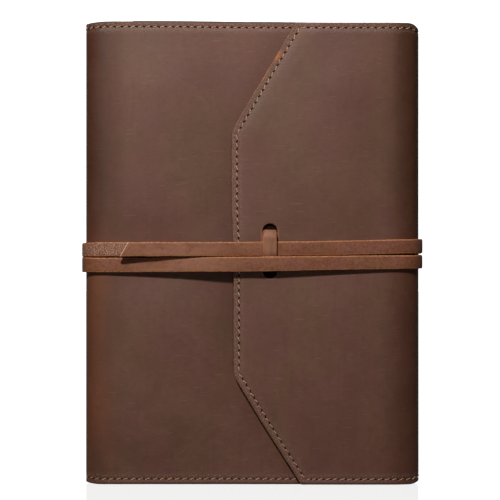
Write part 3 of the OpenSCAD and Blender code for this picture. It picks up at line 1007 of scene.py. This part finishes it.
def slabs(name, plates, material):
    """Plates with round corners and softened edges: (x0, x1, z0, z1, y0, y1, radius)."""
    points, faces, smooth_faces = [], [], []
    for x0, x1, z0, z1, y0, y1, radius in plates:
        soft = min(0.3, (y1 - y0) * 0.35)
        rings = [(soft, y0), (soft * 0.3, y0 + soft * 0.3), (0, y0 + soft),
                 (0, y1 - soft), (soft * 0.3, y1 - soft * 0.3), (soft, y1)]
        first = len(points)
        for inset, y in rings:
            outline = corner_outline(x0, x1, z0, z1, radius, inset)
            points += [(x, y, z) for x, z in outline]
        size = len(outline)
        for k in range(len(rings) - 1):
            a, b = first + k * size, first + (k + 1) * size
            faces += [(a + i, b + i, b + (i + 1) % size, a + (i + 1) % size) for i in range(size)]
        faces.append(tuple(range(first, first + size)))
        faces.append(tuple(range(first + (len(rings) - 1) * size, len(points)))[::-1])
        smooth_faces += [True] * (size * (len(rings) - 1)) + [False, False]
    points = np.array(points)
    flat = points[:, [0, 2, 1]]
    return mesh_object(name, points, faces, np.zeros(len(faces)), flat, flat * 0, [material],
                       smooth_faces)


def board_of(node, ride):
    low, high = span(node)
    plate = (low[0], high[0], low[2], high[2], low[1], high[1], 5.0)
    return settle(slabs(node + "_card", [plate], BOARD), "refill_board", [node], ride=ride)


board_of("refill_front_board", "front")
board_of("refill_back_board", "back")


def pages_of(node, ride, seed):
    """A stack of leaves, each a hair off the next."""
    rng = np.random.default_rng(seed)
    low, high = span(node)
    leaves = 24
    pitch = (high[1] - low[1]) / leaves
    plates = []
    for k in range(leaves):
        dx, dz0, dz1 = rng.uniform(-0.16, 0.0, 3)
        y = low[1] + k * pitch
        plates.append((low[0], high[0] + dx, low[2] - dz0, high[2] + dz1,
                       y + 0.015, y + pitch - 0.015, 3.0))
    return settle(slabs(node + "_leaves", plates, PAPER), "pages", [node], ride=ride)


pages_of("page_block_front", "pages", 11)
pages_of("page_block_back", "back", 12)

low, high = span("refill_spine")
spine_line = Path(
    [(low[0] - 0.35 * math.sin(math.pi * t), high[1] + (low[1] - high[1]) * t)
     for t in np.linspace(0, 1, 40)], -1, 0,
)
s, z = grid(steps((ROUND, 0.8), spine_line.length - ROUND), np.linspace(low[2], high[2], 60))
settle(
    sheet("refill_spine_card", Skin(spine_line, no_swell, 0.0, 1), s, z, [BOARD] * 3, 0.8),
    "refill_board", ["refill_spine"], ride="spine",
)


# ---- Thread ------------------------------------------------------------------------
def stitches(name, skin, node_names, blend, seam_first=0, seam_last=0):
    """Two-ply stitches along a skin's rows, each diving into a slanted hole at both ends."""
    ring, sides, rim = 9, 6, 12
    slant = -1 if skin.path is flap_path else 1
    t = np.linspace(0, 1, ring)[None, None, :, None]
    ply = np.array([0, math.pi])[None, :, None, None]
    around = (np.arange(sides) * 2 * math.pi / sides)[None, None, None, :]
    circle = np.arange(rim) * 2 * math.pi / rim
    a, b = 0.98 * np.cos(circle), 0.34 * np.sin(circle)
    tilt = math.radians(20)
    hole_along = np.concatenate([[0], a * math.cos(tilt) + b * math.sin(tilt)])
    hole_off = slant * np.concatenate([[0], b * math.cos(tilt) - a * math.sin(tilt)])
    points, flats, faces, kinds = [], [], [], []
    rng = np.random.default_rng(len(name))
    total = 0

    def add(s, z, depth, flat):
        nonlocal total
        s, z, depth = np.broadcast_arrays(s, z, depth)
        points.append(skin.place(s, z, depth).reshape(-1, 3))
        flats.append(np.stack(np.broadcast_arrays(*flat), -1).reshape(-1, 3))
        index = total + np.arange(s.size).reshape(s.shape)
        total += s.size
        return index

    for (s0, z0), (s1, z1), count in skin.rows:
        length = math.hypot(s1 - s0, z1 - z0)
        dx, dz = (s1 - s0) / length, (z1 - z0) / length
        pitch = length / count
        k = np.arange(count)[:, None, None, None]
        loose = rng.uniform(-1, 1, (4, count))[:, :, None, None, None]
        along = (k + 0.17 + 0.66 * t) * pitch + 0.1 * loose[0]
        off = slant * (0.85 + 0.15 * loose[1]) * (t - 0.5) + 0.06 * loose[2]
        rise = 0.30 * (1 - (2 * t - 1) ** 4) - 0.2 + 0.05 * loose[3]
        spin = ply + 2 * math.pi * 1.15 * t + 2 * loose[0]
        off = off + 0.14 * np.cos(spin) + 0.165 * np.cos(around)
        rise = rise + 0.11 * np.sin(spin) + 0.16 * np.sin(around)
        index = add(s0 + along * dx - off * dz, z0 + along * dz + off * dx, -rise,
                    (along, off * 3, rise))
        nxt = np.roll(index, -1, axis=3)
        quads = np.stack([index[:, :, :-1], nxt[:, :, :-1], nxt[:, :, 1:], index[:, :, 1:]], -1)
        found = quads.reshape(-1, 4).tolist()
        found += index[:, :, 0, ::-1].reshape(-1, sides).tolist()
        found += index[:, :, -1].reshape(-1, sides).tolist()
        faces.extend(found)
        kinds.extend([0] * len(found))
        # Each needle hole is a flat near-black disc on the face: painted shadow for the dark inside
        # the hole.
        centre = np.arange(1 - seam_first, count + seam_last)[:, None] * pitch
        open_share = 0.72 if z0 + z1 < 2 * STITCH_IN + 0.1 else 1.0
        along = centre + hole_along * open_share
        off = np.broadcast_to(hole_off * open_share, along.shape)
        index = add(s0 + along * dx - off * dz, z0 + along * dz + off * dx, -0.05,
                    (along, off, 0 * along))
        for k in range(rim):
            fan = np.stack([index[:, 0], index[:, 1 + k], index[:, 1 + (k + 1) % rim]], -1)
            faces.extend(fan.tolist())
            kinds.extend([1] * len(fan))
    points, flats = np.concatenate(points), np.concatenate(flats)
    obj = mesh_object(name, points, faces, kinds, flats, flats * 0, [THREAD, NEEDLE_HOLE_SHADOW])
    settle(obj, "thread", node_names, blend=blend)


stitches("thread_front", front_skin, ["front_thread"], BEND_SPINE_FRONT)
stitches("thread_back_spine_side", spine_skin, ["back_thread", "spine_thread"], BEND_BACK_SPINE,
         seam_first=1, seam_last=1)
stitches("thread_back_fore_side", fore_skin, ["fore_edge_thread"], BEND_BACK_FORE, seam_last=1)
stitches("thread_flap", flap_skin, ["flap_thread"], BEND_FORE_FLAP)


# ---- Strap ---------------------------------------------------------------------------
def crisp_ends(rings):
    """The rings with each end one doubled, so that the smooth shading stops there."""
    first = rings[:1] + (rings[1:2] - rings[:1]) * 0.03
    last = rings[-1:] + (rings[-2:-1] - rings[-1:]) * 0.03
    return np.concatenate([rings[:1], first, rings[1:-1], last, rings[-1:]])


def strap_section(width, thick, soft, cut_from):
    """The strap's outline at each ring: how far across, how high, and each side's material."""
    half, low_round = width / 2, 0.22
    r = np.minimum(soft, thick * 0.35)
    arc, cut_from = np.radians([90, 62, 35, 10]), math.radians(cut_from) + 1e-6
    across, high, kind = [], [], []

    def add(x, y, k):
        across.append(x), high.append(y), kind.append(k)

    for share in (-0.3, 0.0, 0.3):
        add(share * width, thick + 0.06 * (1 - (2 * share) ** 2), 0)
    for a in arc:
        add(half - r + r * math.cos(a), thick - r + r * math.sin(a), int(a <= cut_from))
    add(half, low_round + 0 * half, 1)
    add(half - low_round, 0 * half, 2)
    add(0 * half, 0 * half, 2)
    add(low_round - half, 0 * half, 1)
    add(-half, low_round + 0 * half, 1)
    for a in arc[::-1]:
        add(r - half - r * math.cos(a), thick - r + r * math.sin(a), int(a < cut_from))
    kind[-1] = 0
    return np.array(across).T, np.array(high).T, kind


class Ribbon:
    """A length of strap: its back face's middle line, outward side, and width. The leather's
    pattern begins at start, and skew cuts the far end on a slant."""

    def __init__(self, points, outward, width, thick=None, start=0.0, rough=0.0, skew=0.0,
                 tip=False, cut_from=90, soft=0.55, worn=0.0):
        points, outward = np.array(points, float), np.array(outward, float)
        n = len(points)
        tangent = np.gradient(points, axis=0)
        tangent /= np.linalg.norm(tangent, axis=1)[:, None]
        across = np.cross(tangent, outward)
        across /= np.linalg.norm(across, axis=1)[:, None]
        if (across @ np.array([0.3, 0.0, 1.0])).sum() < 0:
            across = -across
        step = np.linalg.norm(np.diff(points, axis=0), axis=1)
        along = np.concatenate([[0], np.cumsum(step)])
        width = np.broadcast_to(width, n)
        thick = np.broadcast_to(STRAP_T if thick is None else thick, n)
        b, h, kind = strap_section(width, thick, soft, cut_from)
        if tip:
            h[-1] = np.minimum(h[-1], thick[-1] - 0.6)
        wobble = 0.05 * waves(along + start, along * 0, 11, 71)[:, None]
        b = b + wobble * np.sign(b)
        shift = skew * smooth(along[-1] - 9, along[-1], along)[:, None] * (b / width[:, None])
        self.points = (
            points[:, None] + b[..., None] * across[:, None] + h[..., None] * outward[:, None]
            + shift[..., None] * tangent[:, None]
        )
        size = b.shape[1]
        self.flat = np.stack(
            [np.broadcast_to(along[:, None] + start, b.shape) + shift, b, h], -1
        )
        self.points, self.flat = crisp_ends(self.points), crisp_ends(self.flat)
        n += 2
        self.rough, self.worn = rough, worn
        index = np.arange(n * size).reshape(n, size)
        nxt = np.roll(index, -1, axis=1)
        quads = np.stack([index[:-1], nxt[:-1], nxt[1:], index[1:]], -1).reshape(-1, 4)
        flip = np.dot(np.cross(across[0], outward[0]), tangent[0]) > 0
        caps = [index[0, ::-1].tolist(), index[-1].tolist()]
        self.faces = (quads[:, ::-1] if flip else quads).tolist()
        self.faces += [c[::-1] for c in caps] if flip else caps
        kinds = np.tile(kind, (n - 1, 1))
        if tip:
            kinds[-2:] = 3
        self.kinds = list(kinds.ravel()) + [1, 3 if tip else 1]


def strap_piece(name, ribbons, node_names, **how):
    points, flats, marks, faces, kinds = [], [], [], [], []
    total = 0
    for ribbon in ribbons:
        count = ribbon.points.shape[0] * ribbon.points.shape[1]
        points.append(ribbon.points.reshape(-1, 3))
        flats.append(ribbon.flat.reshape(-1, 3))
        mark = np.zeros((count, 3))
        mark[:, 0] = ribbon.rough
        x, y = ribbon.points.reshape(-1, 3)[:, :2].T
        # Wear, plus a lighter patch round x = -36 on the pieces that lie in front: partly wear,
        # partly a painted highlight where they catch more light.
        mark[:, 2] = ribbon.worn + 0.5 * np.exp(-(((x + 36) / 26) ** 2)) * (y < 0)
        marks.append(mark)
        faces += [[i + total for i in f] for f in ribbon.faces]
        kinds += ribbon.kinds
        total += count
    obj = mesh_object(name, np.concatenate(points), faces, kinds, np.concatenate(flats),
                      np.concatenate(marks), [STRAP, STRAP_CUT, STRAP_FLESH, STRAP_TIP])
    settle(obj, "strap_leather", node_names, **how)


def along_path(path, s, z, lift=0.0):
    """Points and outward sides along a plan path, lifted off it."""
    point, normal = path.at(s)
    point = point + normal * np.broadcast_to(lift, s.shape)[:, None]
    z = np.broadcast_to(z, s.shape)
    return np.column_stack([point, z]), np.column_stack([normal, 0 * s])


def lower_z(x):
    """Middle height of the lower run at this x."""
    return np.interp(x, [-X_FORE, -60, 0, 40, X_FORE],
                     [LOWER_LEFT + 0.15, LOWER_LEFT + 0.2, LOWER_LEFT + 0.62,
                      LOWER_RIGHT - 0.35, LOWER_RIGHT + 0.1])


def upper_z(x):
    """Middle height of the upper run at this x."""
    return np.interp(x, [-X_FORE, -20, 30, X_FORE],
                     [UPPER_LEFT, UPPER_LEFT + 0.1, UPPER_LEFT + 0.45, UPPER_RIGHT])


def lower_w(x):
    """Width of the lower run."""
    return np.interp(x, [-X_FORE, 0, X_FORE], [7.05, 7.3, 6.6])


# Gap left between the strap and the leather, and where the strap is cut by the spine
TOUCH = 0.05
split_x = -70.0
s_split = front_path.s_at_x(split_x)
s_front = steps((0, 0.6), s_split)
TURN_UPPER_Z, TURN_UPPER_W = upper_z(split_x) - 0.37, UPPER_W - 0.55
TURN_LOWER_Z, TURN_LOWER_W = lower_z(split_x) + 0.17, lower_w(split_x) + 0.34


def turn_mix(s, flat_value, turn_value):
    """A value that changes from the panel to the spine's turn."""
    return flat_value + (turn_value - flat_value) * np.exp(-((s / 7) ** 2))


soft = turn_mix(s_front, 0.55, 0.25)
upper_turn = Ribbon(
    *along_path(front_path, s_front, turn_mix(s_front, upper_z(split_x), TURN_UPPER_Z), TOUCH),
    turn_mix(s_front, UPPER_W, TURN_UPPER_W), rough=1.0, start=-s_split, soft=soft,
)
lower_turn = Ribbon(
    *along_path(front_path, s_front, turn_mix(s_front, lower_z(split_x), TURN_LOWER_Z), TOUCH),
    turn_mix(s_front, lower_w(split_x), TURN_LOWER_W), start=700 - s_split, soft=soft,
)
strap_piece("strap_spine_front", [upper_turn, lower_turn], ["strap_spine_turns"],
            blend=BEND_SPINE_FRONT)

around = spine_path.length + fore_path.length


def back_turn(path, offset, z_ends, w_ends, second, start):
    """One of the strap's two turns behind the back panel, on one of its halves."""
    on_spine = path is spine_path
    marks = ((0, 0.6), (24, 1.5)) if on_spine else ((0, 1.5), (path.length - 24, 0.6))
    s = steps(*marks, path.length)
    share = (s + offset) / around
    x = path.at(s)[0][:, 0]
    lift = TOUCH
    if second:
        lift = lift + STRAP_T * smooth(-79, -69, x) * (1 - smooth(69, 79, x))
    z = z_ends[0] + (z_ends[1] - z_ends[0]) * share
    width = w_ends[0] + (w_ends[1] - w_ends[0]) * share
    soft = 0.55 - 0.3 * np.exp(-((s / 7) ** 2)) * on_spine
    return Ribbon(*along_path(path, s, z, lift), width, start=start + offset, soft=soft)


for label, path, offset, how, nodes in (
    ("strap_back_spine_side", spine_path, 0.0, BEND_BACK_SPINE, ["strap_back_turns"]),
    ("strap_back_fore_side", fore_path, spine_path.length, BEND_BACK_FORE,
     ["strap_fore_edge_turns"]),
):
    first = back_turn(path, offset, (TURN_UPPER_Z, lower_z(X_FORE)),
                      (TURN_UPPER_W, lower_w(X_FORE)), False, 1000)
    second = back_turn(path, offset, (TURN_LOWER_Z, upper_z(X_FORE)),
                       (TURN_LOWER_W, UPPER_W), True, 1300)
    strap_piece(label, [first, second], nodes, blend=how)

# The two runs that come round the fore edge and over the flap
bar_left, bar_right = BAR_X - STRAP_W / 2, BAR_X + STRAP_W / 2
fold_end = flap_path.s_at_x(SIDE_X - FORE_FLAP[0] - 1)
fold_points = list(flap_path.at(steps((0, 0.4), fold_end))[0])
lower_line = Path(
    fold_points
    + [(bar_right + 1.5, Y_FLAP - STRAP_T), (bar_left - 1.0, Y_FLAP - STRAP_T),
       (split_x, Y_FRONT)],
    1, 3.0,
)
s = steps((0, 0.6), (26, 1.5), lower_line.length)
x = lower_line.at(s)[0][:, 0]
strap_piece(
    "strap_lower_run_leather",
    [Ribbon(*along_path(lower_line, s, lower_z(x), TOUCH), lower_w(x), start=500)],
    ["strap_lower_run"], blend=BEND_FORE_FLAP,
)
tail_line = Path(fold_points + [(BAR_X, Y_FLAP)], 1, 1.0)
s = steps((0, 0.6), (26, 1.5), tail_line.length)
x = tail_line.at(s)[0][:, 0]
strap_piece(
    "strap_tail_leather",
    [Ribbon(*along_path(tail_line, s, upper_z(x), TOUCH), UPPER_W, start=200)],
    ["strap_tail"], blend=BEND_FORE_FLAP,
)
TAIL_LOW = span("strap_tail_end")[0]
tip_x = TAIL_LOW[0]
tip_y = TAIL_LOW[1] + STRAP_T
end_line = Path([(BAR_X, Y_FLAP), (bar_left - 1.5, Y_FLAP), (tip_x - 0.4, tip_y + 0.1)], 1, 3.0)
s = steps((0, 1.0), (end_line.length - 0.5, 0.5), end_line.length)
x = end_line.at(s)[0][:, 0]
strap_piece(
    "strap_tail_end_leather",
    [Ribbon(*along_path(end_line, s, upper_z(x), TOUCH), UPPER_W,
            start=200 + tail_line.length, skew=-4.0, tip=True)],
    ["strap_tail_end"],
    blend=("flap", "tail", (bar_left + 0.5, Y_FLAP, MID_Z), (bar_left - 9, Y_FLAP, MID_Z)),
)

# The first run, from behind the flap's free edge to the spine
first_line = Path([(FLAP_EDGE + 2.5, Y_FRONT - 0.1), (split_x, Y_FRONT)], 1, 0)
s = steps((0, 1.0), first_line.length)
x = first_line.at(s)[0][:, 0]
thick = 0.6 + (STRAP_T - 0.6) * (1 - smooth(FLAP_EDGE - 9, FLAP_EDGE, x))
strap_piece(
    "strap_first_run_leather",
    [Ribbon(*along_path(first_line, s, upper_z(x), TOUCH), UPPER_W, thick=thick,
            start=-s_split - first_line.length, rough=1.0)],
    ["strap_first_run"], ride="flap",
)

# The keeper bar, seen from the side as (y, z): out of the upper hole and into the lower
y_over = Y_FLAP - STRAP_T - TOUCH
bar_side = [
    (Y_FLAP + 1.45, UPPER_HOLE - 1.3), (Y_FLAP - 0.5, UPPER_HOLE - 1.4),
    (Y_FLAP - 1.4, UPPER_HOLE - 2.0), (y_over, UPPER_HOLE - 3.2), (y_over, LOWER_HOLE + 8.5),
    (Y_FLAP - 1.0, LOWER_HOLE + 7.0), (Y_FLAP - 0.06, LOWER_HOLE + 5.8),
    (Y_FLAP - 0.06, LOWER_HOLE + 3.0),
    (Y_FLAP + 0.8, LOWER_HOLE + 1.8), (Y_FLAP + 1.45, LOWER_HOLE + 1.45),
]
bar_line = Path(bar_side, 1, 0.9)
s = steps((0, 0.35), bar_line.length)
point, normal = bar_line.at(s)
points = np.column_stack([np.full(len(s), BAR_X), point])
outward = np.column_stack([0 * s, normal])
if outward[len(s) // 2, 1] > 0:
    outward = -outward
width = STRAP_W - 0.5 * np.exp(-(((points[:, 2] - UPPER_HOLE) / 3) ** 2))
width -= 0.5 * np.exp(-(((points[:, 2] - LOWER_HOLE) / 3) ** 2))
strap_piece(
    "strap_keeper_bar_leather", [Ribbon(points, outward, width, start=60, cut_from=36, worn=0.55)],
    ["strap_keeper_bar"], ride="flap",
)

# ---- Camera, light and stage ------------------------------------------------------
scene = bpy.context.scene
scene.view_settings.view_transform = "Standard"
VIEW_WIDTH = 243.5
LENS_TO_FRONT = 1300.0
EYE_X, EYE_Z = -1.1, 114.1
camera_data = bpy.data.cameras.new("camera")
camera_data.sensor_width = 36.0
camera_data.lens = camera_data.sensor_width * LENS_TO_FRONT / VIEW_WIDTH
camera = bpy.data.objects.new("camera", camera_data)
scene.collection.objects.link(camera)
camera.location = (EYE_X / 1000.0, (Y_FRONT - LENS_TO_FRONT) / 1000.0, EYE_Z / 1000.0)
camera.rotation_euler = (math.radians(90), 0, 0)
scene.camera = camera


def area_light(name, at, aim, size, power, color=(1, 1, 1)):
    data = bpy.data.lights.new(name, "AREA")
    data.shape, data.size, data.energy, data.color = "DISK", size, power, color
    obj = bpy.data.objects.new(name, data)
    scene.collection.objects.link(obj)
    obj.location = at
    back = Vector(at) - Vector(aim)
    obj.rotation_euler = back.to_track_quat("Z", "Y").to_euler()
    return obj


area_light("key", (-0.14, -0.52, 0.615), (0, 0, 0.11), 0.09, 4.4)
area_light("front_fill", (0.1, -1.6, 0.5), (0, 0, 0.1), 0.9, 0.25)
area_light("back_fill", (0.15, 1.3, 0.8), (0, 0, 0.1), 0.5, 7.0)

world = bpy.data.worlds.new("studio")
scene.world = world
world.use_nodes = True
nodes, links = world.node_tree.nodes, world.node_tree.links
ray = nodes.new("ShaderNodeLightPath")
seen = nodes.new("ShaderNodeMapRange")
seen.inputs["To Min"].default_value = 0.012
seen.inputs["To Max"].default_value = 1.0
links.new(ray.outputs["Is Camera Ray"], seen.inputs["Value"])
links.new(seen.outputs["Result"], nodes["Background"].inputs["Strength"])
nodes["Background"].inputs["Color"].default_value = (1, 1, 1, 1)


def stage_paint(name, reflect, strength):
    """White for the camera, with a faint reflection, and a dull bounce for the light."""
    material = bpy.data.materials.new(name)
    material.use_nodes = True
    tree = material.node_tree
    tree.nodes.clear()
    new, link = tree.nodes.new, tree.links.new
    output = new("ShaderNodeOutputMaterial")
    bright, dull, gloss = (
        new("ShaderNodeEmission"), new("ShaderNodeBsdfDiffuse"), new("ShaderNodeBsdfGlossy"),
    )
    bright.inputs["Strength"].default_value = strength
    dull.inputs["Color"].default_value = (0.22, 0.22, 0.22, 1)
    gloss.inputs["Roughness"].default_value = 0.04
    shine, pick = new("ShaderNodeMixShader"), new("ShaderNodeMixShader")
    glance, less = new("ShaderNodeFresnel"), new("ShaderNodeMath")
    glance.inputs["IOR"].default_value = 1.2
    less.operation = "MULTIPLY"
    less.inputs[1].default_value = reflect
    link(glance.outputs[0], less.inputs[0])
    link(less.outputs[0], shine.inputs["Fac"])
    link(bright.outputs[0], shine.inputs[1])
    link(gloss.outputs[0], shine.inputs[2])
    path = new("ShaderNodeLightPath")
    link(path.outputs["Is Camera Ray"], pick.inputs["Fac"])
    link(dull.outputs[0], pick.inputs[1])
    link(shine.outputs[0], pick.inputs[2])
    link((pick if reflect else bright).outputs[0], output.inputs["Surface"])
    return material


def stage_mesh(name, points, faces, material):
    mesh = bpy.data.meshes.new(name)
    mesh.from_pydata(points, [], faces)
    mesh.materials.append(material)
    obj = bpy.data.objects.new(name, mesh)
    scene.collection.objects.link(obj)
    return obj


stage_mesh("floor", [(-7, -7, 0), (7, -7, 0), (7, 7, 0), (-7, 7, 0)], [(0, 1, 2, 3)],
           stage_paint("floor_white", 0.42, 1.1))
backdrop = stage_mesh(
    "backdrop", [(-7, 6, 0), (7, 6, 0), (7, 6, 1.6), (-7, 6, 1.6)], [(0, 1, 2, 3)],
    stage_paint("backdrop_white", 0, 1.5),
)
backdrop.visible_diffuse = backdrop.visible_shadow = False
